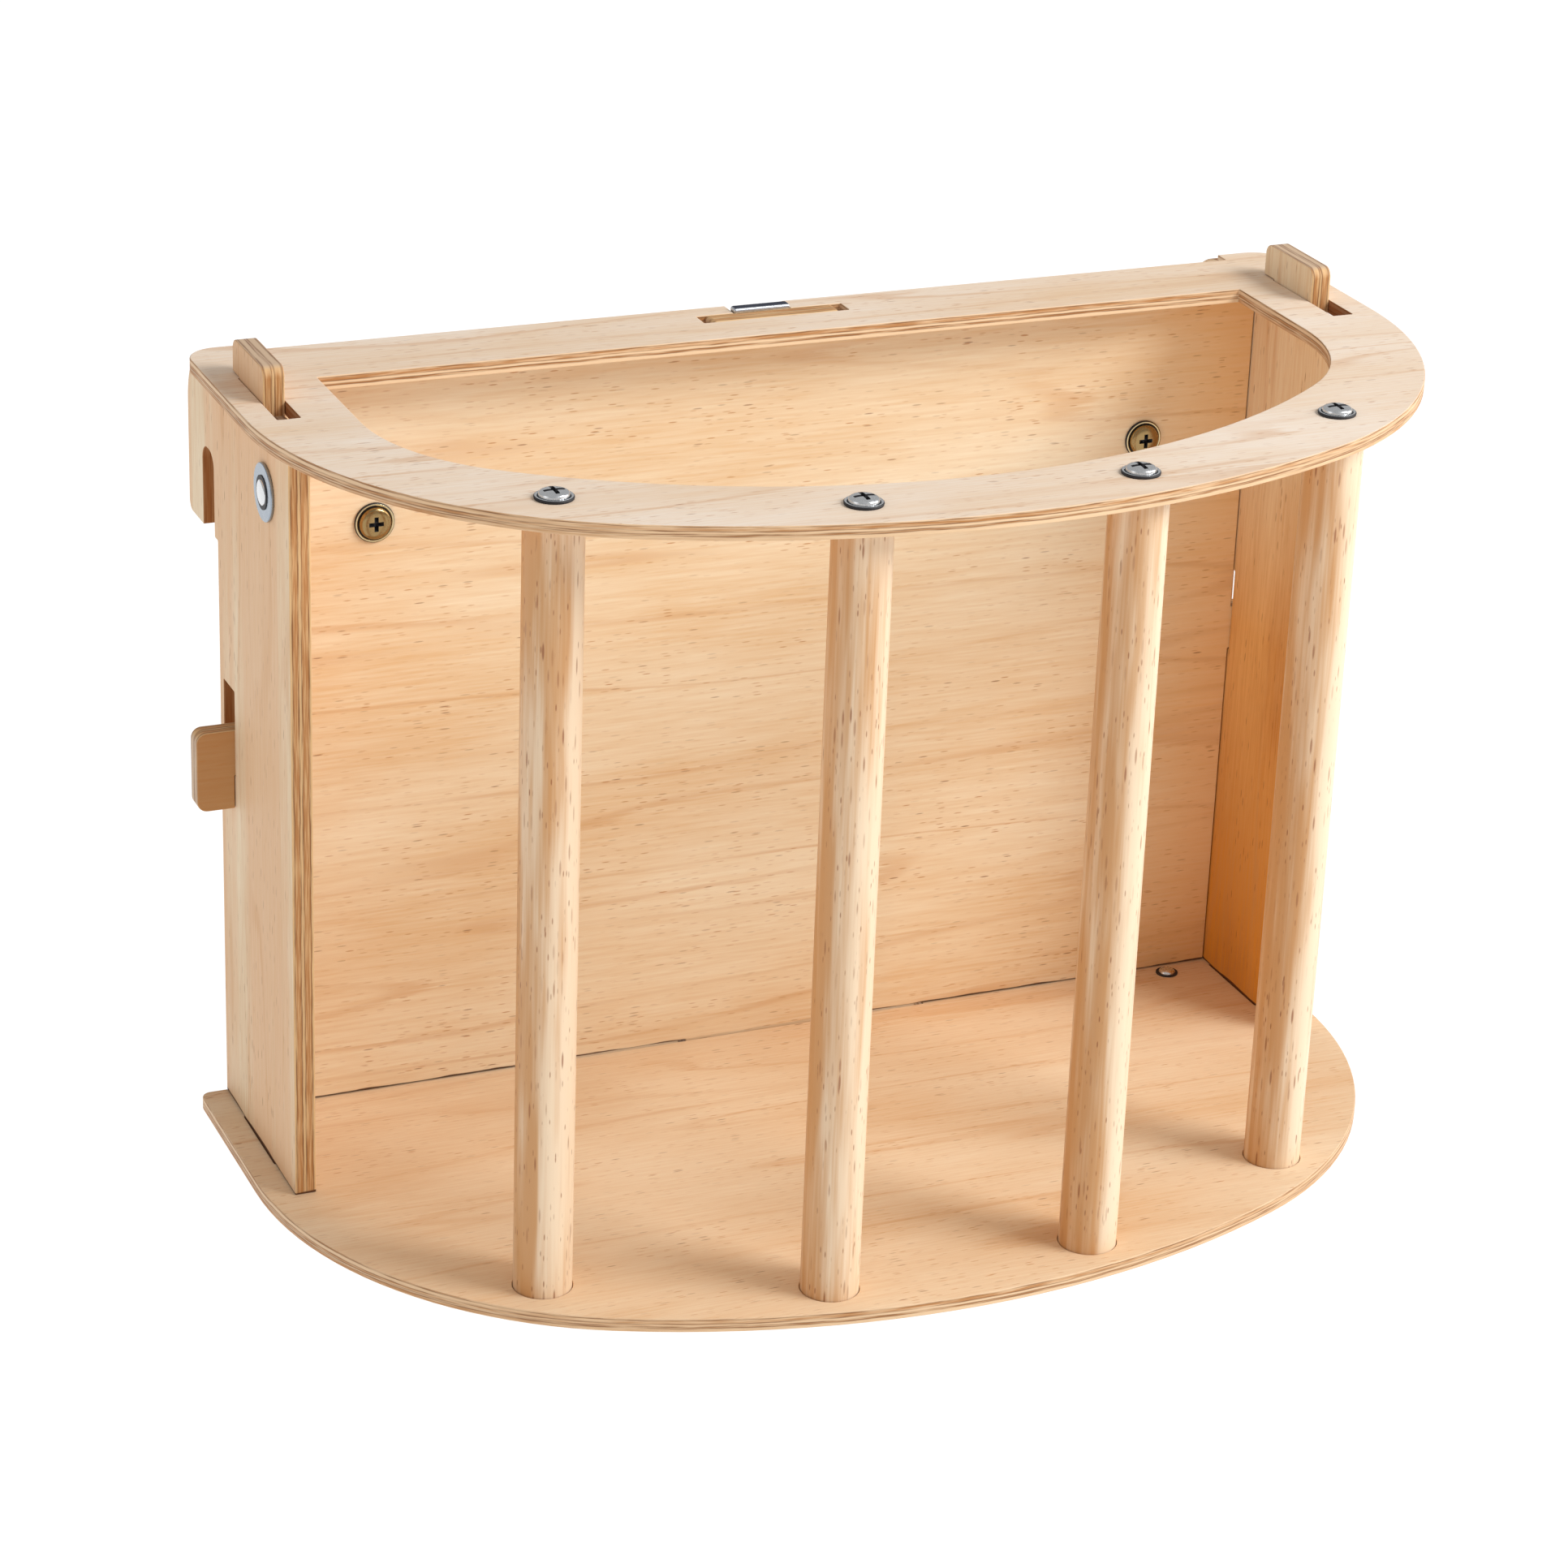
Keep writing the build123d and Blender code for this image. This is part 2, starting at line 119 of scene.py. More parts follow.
class FeederColours(bpy.types.PropertyGroup):
    """Base colours of the woods and metals."""

    ring_early: colour("Ring earlywood", "Pale wood of the top ring", "#f6e8d9")
    ring_late: colour("Ring latewood", "Warm bands in the top ring", "#e8c8a5")
    base_early: colour("Base earlywood", "Pale wood of the base board", "#eed6b6")
    base_late: colour("Base latewood", "Warm bands in the base board", "#dfb68a")
    board_early: colour("Board earlywood", "Pale wood of the side and back boards", "#f5e1c1")
    board_late: colour("Board latewood", "Warm bands in the side and back boards", "#e2b988")
    side_early: colour("Side earlywood", "Pale wood of the left side board", "#eed9b9")
    side_late: colour("Side latewood", "Warm streaks in the left side board", "#d9b184")
    side_strip: colour("Side strips", "Rosy strips up the left side board", "#e2b58a")
    # The amber colours are painted shade and warm bounce light, on the right board's inner face and
    # towards the back board's right end
    amber_early: colour("Amber earlywood", "Pale wood of the right side board", "#efb772")
    amber_late: colour("Amber latewood", "Warm bands in the right side board", "#c8823a")
    deep_amber_shade: colour("Deep amber", "Heartwood at the foot of the right board", "#efa02c")
    growth: colour("Growth lines", "Thin wavy lines between a veneer's rings", "#cf9760")
    fibre: colour("Fibres", "Short warm dashes all over a veneer", "#bd7d42")
    pore: colour("Pores", "Short dark dashes along the grain", "#8a4c1e")
    plate_edge: colour("Plate edge", "Pale plies on the edges of ring and base", "#ecc9a0")
    board_edge: colour("Board edge", "Pale plies on the edges of the boards", "#e3bb87")
    end_grain: colour("End-grain ply", "Plies cut across their grain, on an edge", "#b9804a")
    grey_end: colour("Greyed ends", "Edges that face along the veneer's grain", "#c3ae9c")
    # The tenon colour is painted shade: the tenons stand in the side boards' shadow
    shaded_tenon: colour("Tenon", "Back board's tenons, browned by handling", "#bf915e")
    glue: colour("Glue line", "Thin dark line between two plies", "#6f421f")
    dowel_pale: colour("Dowel sapwood", "Pale wood of the dowels", "#edd3b3")
    dowel_warm: colour("Dowel streaks", "Warm streaks along the dowels", "#cc9762")
    dowel_fleck: colour("Dowel flecks", "Brown flecks in the dowels", "#8c4a20")
    zinc: colour("Bright zinc", "Plating of the ring's and the sides' screws", "#e6e8ea")
    blue_zinc: colour("Blue zinc", "Plating of the washers and wing nuts", "#a3adb8")
    yellow_zinc: colour("Yellow zinc", "Collars of the back board's screws", "#d9c89e")
    bronzed_zinc: colour("Bronzed zinc", "Domes of the back board's screws", "#a5895c")
    # The screw recess colour is painted shade on the screws' grooves, recesses, collar flanks and
    # rims
    screw_shade: colour("Screw recess", "Grime in the grooves and recesses of the screws", "#17161a")
    strap: colour("Strap steel", "Rolled faces of the hanger strap", "#d5d9df")
    strap_cut: colour("Strap cut ends", "Sheared ends of the hanger strap", "#4d5160")
    # The scorch colour is laser scorch and painted shade on the cut edges inside the slots
    slot_scorch_and_shade: colour("Scorch", "Laser-cut edges inside the slots", "#96561f")
    # The joint colour is painted shade along a board's foot, where it stands on the base
    joint: colour("Joint line", "Dust and shade in the joint along a board's foot", "#532a0e")
    floor: colour("Floor", "Opal floor that glows white from below", "#ffffff")

# ---- Shader helpers ----------------------------------------------------------------------


def add_node(tree, kind, inputs=None, **settings):
    """Adds one node with its settings; an input is a value, a socket, or a node's first output."""
    node = tree.nodes.new(kind)
    for name, value in settings.items():
        setattr(node, name, value)
    for name, value in (inputs or {}).items():
        if isinstance(value, bpy.types.Node):
            value = next(output for output in value.outputs if output.enabled)
        if isinstance(value, bpy.types.NodeSocket):
            tree.links.new(value, node.inputs[name])
        elif node.inputs[name].type == "RGBA":
            node.inputs[name].default_value = (*value, 1.0)
        else:
            node.inputs[name].default_value = value
    return node


def new_material(name):
    """An empty node material, as (material, tree)."""
    material = bpy.data.materials.new(name)
    material.use_nodes = True
    material.node_tree.nodes.clear()
    return material, material.node_tree


def dimmed(tint, share):
    """A linear colour that reflects this share of the light that tint does."""
    return tuple(share * channel for channel in tint)


def painted(tree, ground, *coats):
    """Colours laid over a ground colour, each coat as (mask, colour)."""
    for mask, tint in coats:
        ground = add_node(
            tree, "ShaderNodeMix", {"Factor": mask, "A": ground, "B": tint}, data_type="RGBA"
        )
    return ground


def grain_space(tree, grain, along, across):
    """Coordinates in which one spot of a pattern is along by across, in millimetres."""
    place = add_node(tree, "ShaderNodeTexCoord").outputs["Object"]
    scale = [1 / (across * MM)] * 3
    scale[grain] = 1 / (along * MM)
    return add_node(tree, "ShaderNodeVectorMath", {0: place, 1: scale}, operation="MULTIPLY")


def grain_noise(tree, grain, along, across, detail=2.0):
    """Noise stretched along the grain, with spots of a real size in millimetres."""
    space = grain_space(tree, grain, along, across)
    return add_node(tree, "ShaderNodeTexNoise", {"Vector": space, "Scale": 1.0, "Detail": detail})


def dashes(tree, grain, along, across, share, fill):
    """A mask of short dashes along the grain: share of the cells hold one, of that fill."""
    space = grain_space(tree, grain, along, across)
    cells = add_node(tree, "ShaderNodeTexVoronoi", {"Vector": space, "Scale": 1.0})
    solid_core = 0.45 * fill
    dash = add_node(
        tree,
        "ShaderNodeMapRange",
        {"Value": cells, "From Min": fill, "From Max": solid_core},
        interpolation_type="SMOOTHSTEP",
    )
    lot = add_node(tree, "ShaderNodeSeparateColor", {"Color": cells.outputs["Color"]})
    drawn = add_node(tree, "ShaderNodeMapRange", {"Value": lot, "From Min": 1 - share})
    return add_node(tree, "ShaderNodeMath", {0: dash, 1: drawn}, operation="MULTIPLY")


# ---- Woods -------------------------------------------------------------------------------

# Where each ply of a sheet starts, as a share of its thickness, and whether its grain runs
# across that of the face veneers
PLATE_PLIES = ((0.0, 0), (0.30, 1), (0.42, 0), (0.62, 1), (0.90, 0))
BOARD_PLIES = ((0.0, 0), (0.11, 1), (0.40, 0), (0.54, 1), (0.88, 0))

# Spots of a veneer's patterns, along and across its grain, in millimetres
CLOUDS = (110, 40)
DRIFT = (450, 38)  # the growth lines are this pattern's contours
STREAKS = (17, 0.8)  # coarser than real fibres, so that they show
MARK_ROWS = (60, 9)  # loose rows in which fibres and pores crowd together
FIBRE_CELLS = (6.0, 0.8)  # a fibre fills 3.5 by 0.5 mm of its cell
PORE_CELLS = (7.5, 1.0)  # a pore fills 4 by 0.5 mm of its cell
STRIPS = (500, 12)  # tan and rosy strips up the left board, each 10 to 20 mm wide
RING_LINES = 48.0  # radians of growth rings from the drift's lowest to its highest

# Spots of a cut edge's patterns, through the sheet and along the edge
PLY_WAVER = (3, 11)
CUT_FIBRES = (0.4, 11)
WAVER = 0.07  # how far a ply wanders up or down, as a share of the sheet
GLUE_LINE = 0.07  # reach of a glue line on either side, as a share of the sheet

# Spots of a dowel's patterns; its flecks are the beech's rays, 0.5 to 0.8 by 2.5 to 6 mm
DOWEL_BANDS = (80, 5.5)
DOWEL_FIBRES = (24, 0.6)
LONG_RAYS = (10, 1.3)
SHORT_RAYS = (4.5, 0.9)

WARM_END = 60 * MM  # length of the back board's right end that is painted warmer, as bounce light off the right board
JOINT_LOW, JOINT_HIGH = 0.4 * MM, 0.95 * MM  # height of the painted joint shade above the base
JOINT_BLUR = 0.12 * MM
MIDDLE_TAB = (21 * MM, 22 * MM)  # where the back board's tab ends, either side of the middle
WOOD_RELIEF = 0.08 * MM
WOOD_IOR = 1.45


def base_veneer(tree, place, tone, colours):
    """Birch of the base board, a little yellow."""
    return painted(tree, colours.base_early, (tone, colours.base_late))


def ring_veneer(tree, place, tone, colours):
    """Birch of the ring, paler than the base's."""
    return painted(tree, colours.ring_early, (tone, colours.ring_late))


def pale_veneer(tree, place, tone, colours):
    """Pale pine, the same all over."""
    return painted(tree, colours.board_early, (tone, colours.board_late))


def banded_veneer(tree, place, tone, colours):
    """Pine in strips, tan and rosy, that run from top to bottom."""
    strips = add_node(
        tree,
        "ShaderNodeMapRange",
        {
            "Value": grain_noise(tree, Z, *STRIPS, detail=1),
            "From Min": 0.42,
            "From Max": 0.58,
            "To Max": 0.75,
        },
    )
    return painted(
        tree, colours.side_early, (tone, colours.side_late), (strips, colours.side_strip)
    )


def shaded_inner_veneer(tree, place, tone, colours):
    """Pale pine outside; inside, painted shade and warm bounce light: pale at the top, amber below
    and deep at the foot.
    """
    low, high = (corner.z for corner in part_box("right_side_board"))
    climb = add_node(
        tree, "ShaderNodeMapRange", {"Value": place.outputs["Z"], "From Min": low, "From Max": high}
    )
    foot = add_node(tree, "ShaderNodeMapRange", {"Value": climb, "From Min": 0.4, "From Max": 0.05})
    head = add_node(tree, "ShaderNodeMapRange", {"Value": climb, "From Min": 0.5, "From Max": 0.79})
    normal = add_node(tree, "ShaderNodeTexCoord").outputs["Normal"]
    normal = add_node(tree, "ShaderNodeSeparateXYZ", {"Vector": normal})
    outside = add_node(
        tree, "ShaderNodeMath", {0: normal.outputs["X"], 1: 0.5}, operation="GREATER_THAN"
    )
    amber = painted(tree, colours.amber_early, (tone, colours.amber_late))
    deep = painted(tree, colours.amber_late, (tone, colours.deep_amber_shade))
    pale = pale_veneer(tree, place, tone, colours)
    return painted(tree, amber, (foot, deep), (head, pale), (outside, pale))


def back_veneer_with_painted_light(tree, place, tone, colours):
    """Pale pine, painted warmer towards its right end as bounce light; its tenons are painted brown
    as shade.
    """
    inner, outer = (corner.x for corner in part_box("right_side_board"))
    outward = add_node(tree, "ShaderNodeMath", {0: place.outputs["X"]}, operation="ABSOLUTE")
    shaded_tenon = add_node(tree, "ShaderNodeMath", {0: outward, 1: outer}, operation="GREATER_THAN")
    painted_bounce = add_node(
        tree,
        "ShaderNodeMapRange",
        {
            "Value": place.outputs["X"],
            "From Min": inner - WARM_END,
            "From Max": inner,
            "To Max": 0.6,
        },
        interpolation_type="SMOOTHSTEP",
    )
    pale = pale_veneer(tree, place, tone, colours)
    # The tenons are painted brown as shade, where they stand in the side boards' shadow
    brown = painted(tree, colours.shaded_tenon, (tone, colours.end_grain))
    return painted(tree, pale, (painted_bounce, colours.amber_early), (shaded_tenon, brown))


class Sheet(NamedTuple):
    """How one plywood piece was cut out of its sheet."""

    node: str
    wood: str
    through: int  # the axis through its thickness
    grain: int  # the axis along its face veneers' grain
    plies: tuple
    figure: Callable  # its face veneer's colour, from tree, place, tone and colours
    slots: tuple = ()  # where its laser-cut slots lie, as (axis, nearest, furthest) off the middle


def face_veneer(tree, sheet, place, streaks, colours):
    """A veneer with its growth lines, fibres and pores, as (colour, mask of the pores)."""
    clouds = grain_noise(tree, sheet.grain, *CLOUDS)
    drift = grain_noise(tree, sheet.grain, *DRIFT)
    rings = add_node(
        tree, "ShaderNodeMath", {0: drift, 1: RING_LINES, 2: streaks}, operation="MULTIPLY_ADD"
    )
    rings = add_node(tree, "ShaderNodeMath", {0: rings}, operation="SINE")
    tone = add_node(
        tree, "ShaderNodeMath", {0: rings, 1: 0.03, 2: clouds}, operation="MULTIPLY_ADD"
    )
    tone = add_node(tree, "ShaderNodeMath", {0: streaks, 1: 0.6, 2: tone}, operation="MULTIPLY_ADD")
    tone = add_node(tree, "ShaderNodeMapRange", {"Value": tone, "From Min": 0.5, "From Max": 1.12})
    rows = add_node(
        tree,
        "ShaderNodeMapRange",
        {
            "Value": grain_noise(tree, sheet.grain, *MARK_ROWS, detail=1),
            "From Min": 0.4,
            "From Max": 0.62,
            "To Min": 0.3,
            "To Max": 0.95,
        },
    )
    line = add_node(tree, "ShaderNodeMapRange", {"Value": rings, "From Min": 0.88})
    fibres = dashes(tree, sheet.grain, *FIBRE_CELLS, share=0.85, fill=0.29)
    pores = dashes(tree, sheet.grain, *PORE_CELLS, share=0.35, fill=0.26)
    coats = []
    for mask, strength, tint in (
        (line, 0.4, colours.growth),
        (fibres, 0.85, colours.fibre),
        (pores, 0.8, colours.pore),
    ):
        mask = add_node(tree, "ShaderNodeMath", {0: mask, 1: rows}, operation="MULTIPLY")
        mask = add_node(tree, "ShaderNodeMath", {0: mask, 1: strength}, operation="MULTIPLY")
        coats.append((mask, tint))
    veneer = sheet.figure(tree, place, tone, colours)
    return painted(tree, veneer, *coats), coats[-1][0]


def cut_edge(tree, sheet, place, facing, colours):
    """The plies on a cut edge: long grain stays pale, end grain is darker and mottled."""
    low, high = (corner[sheet.through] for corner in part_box(sheet.node))
    depth = place.outputs[sheet.through]
    depth = add_node(
        tree, "ShaderNodeMapRange", {"Value": depth, "From Min": low, "From Max": high}
    )
    waver = grain_noise(tree, sheet.through, *PLY_WAVER, detail=3)
    # The waver is centred, so that the plies keep their places on the whole
    depth = add_node(
        tree, "ShaderNodeMath", {0: waver, 1: 2 * WAVER, 2: depth}, operation="MULTIPLY_ADD"
    )
    depth = add_node(tree, "ShaderNodeMath", {0: depth, 1: WAVER}, operation="SUBTRACT")
    layers = add_node(tree, "ShaderNodeValToRGB", {"Fac": depth})
    layers.color_ramp.interpolation = "CONSTANT"
    stops = layers.color_ramp.elements
    while len(stops) < len(sheet.plies):
        stops.new(1.0)
    for stop, (start, crossed) in zip(stops, sheet.plies):
        stop.position = start
        stop.color = (crossed, crossed, crossed, 1.0)

    # End grain shows where the edge faces along the ply's own grain
    along = facing.outputs[sheet.grain]
    across = add_node(tree, "ShaderNodeMath", {0: 1.0, 1: along}, operation="SUBTRACT")
    ended = add_node(tree, "ShaderNodeMix", {"Factor": layers, "A": along, "B": across})
    mottle = add_node(
        tree,
        "ShaderNodeMapRange",
        {
            "Value": grain_noise(tree, sheet.through, *CUT_FIBRES, detail=4),
            "From Min": 0.36,
            "From Max": 0.62,
            "To Min": 0.3,
            "To Max": 1.25,
        },
    )
    flat = sheet.through == Z
    greyed = add_node(
        tree,
        "ShaderNodeMapRange",
        {"Value": along, "From Min": 0.75, "To Max": 0.15 if flat else 0.6},
    )
    nearest = 1.0
    for start, _ in sheet.plies[1:]:
        gap = add_node(tree, "ShaderNodeMath", {0: depth, 1: start}, operation="SUBTRACT")
        gap = add_node(tree, "ShaderNodeMath", {0: gap}, operation="ABSOLUTE")
        nearest = add_node(tree, "ShaderNodeMath", {0: gap, 1: nearest}, operation="MINIMUM")
    glue = add_node(
        tree,
        "ShaderNodeMapRange",
        {"Value": nearest, "From Min": GLUE_LINE, "From Max": 0.0, "To Max": 0.7},
    )
    # Both the end grain and the glue lines come and go along the edge
    ended, glue = (
        add_node(tree, "ShaderNodeMath", {0: mask, 1: mottle}, operation="MULTIPLY", use_clamp=True)
        for mask in (ended, glue)
    )
    return painted(
        tree,
        colours.plate_edge if flat else colours.board_edge,
        (ended, colours.end_grain),
        (greyed, colours.grey_end),
        (glue, colours.glue),
    )


def scorched_and_shaded(tree, sheet, place, edge, colours):
    """The cut edge with laser scorch and painted shade, in brown, inside the sheet's slots."""
    slot_scorch_and_shade = 0.75
    for axis, low, high in sheet.slots:
        off = add_node(tree, "ShaderNodeMath", {0: place.outputs[axis]}, operation="ABSOLUTE")
        inside = add_node(
            tree,
            "ShaderNodeMath",
            {0: off, 1: (low + high) / 2, 2: (high - low) / 2},
            operation="COMPARE",
        )
        slot_scorch_and_shade = add_node(tree, "ShaderNodeMath", {0: inside, 1: slot_scorch_and_shade}, operation="MULTIPLY")
    return painted(tree, edge, (slot_scorch_and_shade, colours.slot_scorch_and_shade))


def painted_joint_shade(tree, place, surface, colours):
    """The surface with painted shade in the joint where a board stands on the base."""
    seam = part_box("base_board")[1].z
    top = add_node(
        tree,
        "ShaderNodeMapRange",
        {
            "Value": grain_noise(tree, Z, 30, 14),
            "From Min": 0.3,
            "From Max": 0.7,
            "To Min": seam + JOINT_LOW,
            "To Max": seam + JOINT_HIGH,
        },
    )
    above = add_node(
        tree, "ShaderNodeMath", {0: place.outputs["Z"], 1: top}, operation="SUBTRACT"
    )
    shade = add_node(
        tree,
        "ShaderNodeMapRange",
        {"Value": above, "From Min": JOINT_BLUR, "From Max": -JOINT_BLUR, "To Max": 0.95},
    )
    # The back board's own tab fills the joint in the middle, so the painted shade is faint there
    outward = add_node(tree, "ShaderNodeMath", {0: place.outputs["X"]}, operation="ABSOLUTE")
    tab_end, past_tab = MIDDLE_TAB
    beside = add_node(
        tree,
        "ShaderNodeMapRange",
        {"Value": outward, "From Min": tab_end, "From Max": past_tab, "To Min": 0.2},
    )
    shade = add_node(tree, "ShaderNodeMath", {0: shade, 1: beside}, operation="MULTIPLY")
    return painted(tree, surface, (shade, colours.joint))


def plywood(sheet, colours):
    """Sanded plywood: face veneers with figure and pores, and plies on every cut edge."""
    material, tree = new_material(f"{sheet.wood}_{sheet.node}")
    coordinates = add_node(tree, "ShaderNodeTexCoord")
    place = add_node(tree, "ShaderNodeSeparateXYZ", {"Vector": coordinates.outputs["Object"]})
    facing = add_node(
        tree, "ShaderNodeVectorMath", {0: coordinates.outputs["Normal"]}, operation="ABSOLUTE"
    )
    facing = add_node(tree, "ShaderNodeSeparateXYZ", {"Vector": facing})
    streaks = grain_noise(tree, sheet.grain, *STREAKS, detail=3)
    veneer, pores = face_veneer(tree, sheet, place, streaks, colours)
    surface = cut_edge(tree, sheet, place, facing, colours)
    if sheet.slots:
        surface = scorched_and_shaded(tree, sheet, place, surface, colours)
    on_face = add_node(
        tree, "ShaderNodeMath", {0: facing.outputs[sheet.through], 1: 0.8}, operation="GREATER_THAN"
    )
    surface = painted(tree, surface, (on_face, veneer))
    if sheet.through != Z:
        surface = painted_joint_shade(tree, place, surface, colours)
    rough = add_node(
        tree,
        "ShaderNodeMapRange",
        {"Value": streaks, "From Min": 0.3, "From Max": 0.7, "To Min": 0.52, "To Max": 0.7},
    )
    height = add_node(
        tree, "ShaderNodeMath", {0: pores, 1: -1.0, 2: streaks}, operation="MULTIPLY_ADD"
    )
    relief = add_node(
        tree, "ShaderNodeBump", {"Height": height, "Strength": 0.35, "Distance": WOOD_RELIEF}
    )
    wood = add_node(
        tree,
        "ShaderNodeBsdfPrincipled",
        {"Base Color": surface, "Roughness": rough, "Normal": relief, "IOR": WOOD_IOR},
    )
    add_node(tree, "ShaderNodeOutputMaterial", {"Surface": wood})
    return material


def turned_beech(colours):
    """Sanded beech dowel: pale, with warm streaks and brown flecks that run along it."""
    material, tree = new_material("turned_beech_dowel")
    bands = grain_noise(tree, Z, *DOWEL_BANDS)
    fibres = grain_noise(tree, Z, *DOWEL_FIBRES)
    # Painted light: each dowel is paler on its right side, towards the key and rim lights, and
    # warmer and darker on its left
    normal = add_node(tree, "ShaderNodeTexCoord").outputs["Normal"]
    normal = add_node(tree, "ShaderNodeSeparateXYZ", {"Vector": normal})
    bands = add_node(
        tree,
        "ShaderNodeMath",
        {0: normal.outputs["X"], 1: -0.2, 2: bands},
        operation="MULTIPLY_ADD",
    )
    tone = add_node(
        tree, "ShaderNodeMath", {0: fibres, 1: 0.22, 2: bands}, operation="MULTIPLY_ADD"
    )
    tone = add_node(
        tree,
        "ShaderNodeMapRange",
        {"Value": tone, "From Min": 0.48, "From Max": 0.88},
        interpolation_type="SMOOTHSTEP",
    )
    long_rays = dashes(tree, Z, *LONG_RAYS, share=0.55, fill=0.31)
    short_rays = dashes(tree, Z, *SHORT_RAYS, share=0.6, fill=0.28)
    flecks = add_node(
        tree, "ShaderNodeMath", {0: long_rays, 1: short_rays}, operation="MAXIMUM", use_clamp=True
    )
    flecks = add_node(tree, "ShaderNodeMath", {0: flecks, 1: 0.75}, operation="MULTIPLY")
    surface = painted(
        tree, colours.dowel_pale, (tone, colours.dowel_warm), (flecks, colours.dowel_fleck)
    )
    relief = add_node(
        tree, "ShaderNodeBump", {"Height": fibres, "Strength": 0.3, "Distance": WOOD_RELIEF}
    )
    rough = add_node(
        tree,
        "ShaderNodeMapRange",
        {"Value": fibres, "From Min": 0.3, "From Max": 0.7, "To Min": 0.36, "To Max": 0.5},
    )
    wood = add_node(
        tree,
        "ShaderNodeBsdfPrincipled",
        {"Base Color": surface, "Roughness": rough, "Normal": relief, "IOR": WOOD_IOR},
    )
    add_node(tree, "ShaderNodeOutputMaterial", {"Surface": wood})
    return material


# ---- Metals ------------------------------------------------------------------------------

# Each plated finish: its colour, its lowest roughness and its spangle in millimetres
PLATINGS = {
    "bright_zinc_ring_screws": ("zinc", 0.2, 0.5),
    "yellow_zinc_screw_collars": ("yellow_zinc", 0.12, 0.8),
    "bronzed_zinc_screw_domes": ("bronzed_zinc", 0.14, 1.4),
    "blue_zinc_washers_and_nuts": ("blue_zinc", 0.2, 2.6),
    "bright_zinc_side_anchors": ("zinc", 0.12, 0.8),
    "blue_zinc_side_washers": ("blue_zinc", 0.2, 2.6),
    "bright_zinc_base_screw": ("zinc", 0.2, 0.6),
    "bright_zinc_strap_screws": ("zinc", 0.18, 0.6),
}


def plated_steel(name, colours):
    """Zinc-plated steel: a soft mirror, with spangle that varies its tint and its gloss."""
    colour_name, roughness, spangle_mm = PLATINGS[name]
    tint = getattr(colours, colour_name)
    material, tree = new_material(name)
    spangle = grain_noise(tree, Z, spangle_mm, spangle_mm, detail=3)
    rough = add_node(
        tree,
        "ShaderNodeMapRange",
        {
            "Value": spangle,
            "From Min": 0.3,
            "From Max": 0.7,
            "To Min": roughness,
            "To Max": roughness + 0.14,
        },
    )
    relief = add_node(
        tree, "ShaderNodeBump", {"Height": spangle, "Strength": 0.15, "Distance": 0.02 * MM}
    )
    metal = add_node(
        tree,
        "ShaderNodeBsdfPrincipled",
        {
            "Base Color": painted(tree, dimmed(tint, 0.8), (spangle, tint)),
            "Metallic": 1.0,
            "Roughness": rough,
            "Normal": relief,
        },
    )
    add_node(tree, "ShaderNodeOutputMaterial", {"Surface": metal})
    return material


def painted_screw_shade(colours):
    """Painted shade: a dull dark finish on a screw's groove, recess and the foot and flank of its
    collar, framing its shiny faces.
    """
    material, tree = new_material("oiled_dust_in_recess")
    shade_mottle = grain_noise(tree, Z, 0.4, 0.4)
    shade_tint = painted(tree, colours.screw_shade, (shade_mottle, dimmed(colours.screw_shade, 2)))
    shade_surface = add_node(
        tree, "ShaderNodeBsdfPrincipled", {"Base Color": shade_tint, "Roughness": 0.55, "IOR": 1.5}
    )
    add_node(tree, "ShaderNodeOutputMaterial", {"Surface": shade_surface})
    return material


def sheared_strap(colours):
    """Rolled flat steel: fine lines along the strap, and duller grey on its sheared ends."""
    material, tree = new_material("rolled_flat_steel")
    normal = add_node(tree, "ShaderNodeTexCoord").outputs["Normal"]
    facing = add_node(tree, "ShaderNodeVectorMath", {0: normal}, operation="ABSOLUTE")
    facing = add_node(tree, "ShaderNodeSeparateXYZ", {"Vector": facing})
    cut = add_node(
        tree, "ShaderNodeMapRange", {"Value": facing.outputs[Z], "From Min": 0.75, "From Max": 0.95}
    )
    rolled = grain_noise(tree, Z, 30, 0.35)
    steel = painted(
        tree, dimmed(colours.strap, 0.75), (rolled, colours.strap), (cut, colours.strap_cut)
    )
    rough = add_node(tree, "ShaderNodeMapRange", {"Value": cut, "To Min": 0.3, "To Max": 0.6})
    relief = add_node(
        tree, "ShaderNodeBump", {"Height": rolled, "Strength": 0.25, "Distance": 0.03 * MM}
    )
    metal = add_node(
        tree,
        "ShaderNodeBsdfPrincipled",
        {"Base Color": steel, "Metallic": 1.0, "Roughness": rough, "Normal": relief},
    )
    add_node(tree, "ShaderNodeOutputMaterial", {"Surface": metal})
    return material


# ---- Mesh helpers ------------------------------------------------------------------------


def put_on(piece, *materials):
    """Gives a piece its materials, in the order of its faces' material numbers."""
    if piece.data.materials:
        piece.data.materials.clear()  # this also sets every face's number to 0
    for material in materials:
        piece.data.materials.append(material)


def soften(piece, width, segments=2):
    """Rounds the arrises of a CAD piece, with modifiers only."""
    piece.data.shade_smooth()
    joined = piece.modifiers.new("Joined faces", "WELD")
    joined.merge_threshold = 0.01 * MM
    merged = piece.modifiers.new("Whole faces", "DECIMATE")
    merged.decimate_type = "DISSOLVE"
    merged.angle_limit = math.radians(0.5)
    arris = piece.modifiers.new("Sanded arris", "BEVEL")
    arris.width = width
    arris.segments = segments
    arris.limit_method = "ANGLE"
    arris.angle_limit = CREASE
    arris.use_clamp_overlap = False
    arris.miter_outer = "MITER_ARC"
    shading = piece.modifiers.new("Flat faces", "WEIGHTED_NORMAL")
    shading.weight = 100


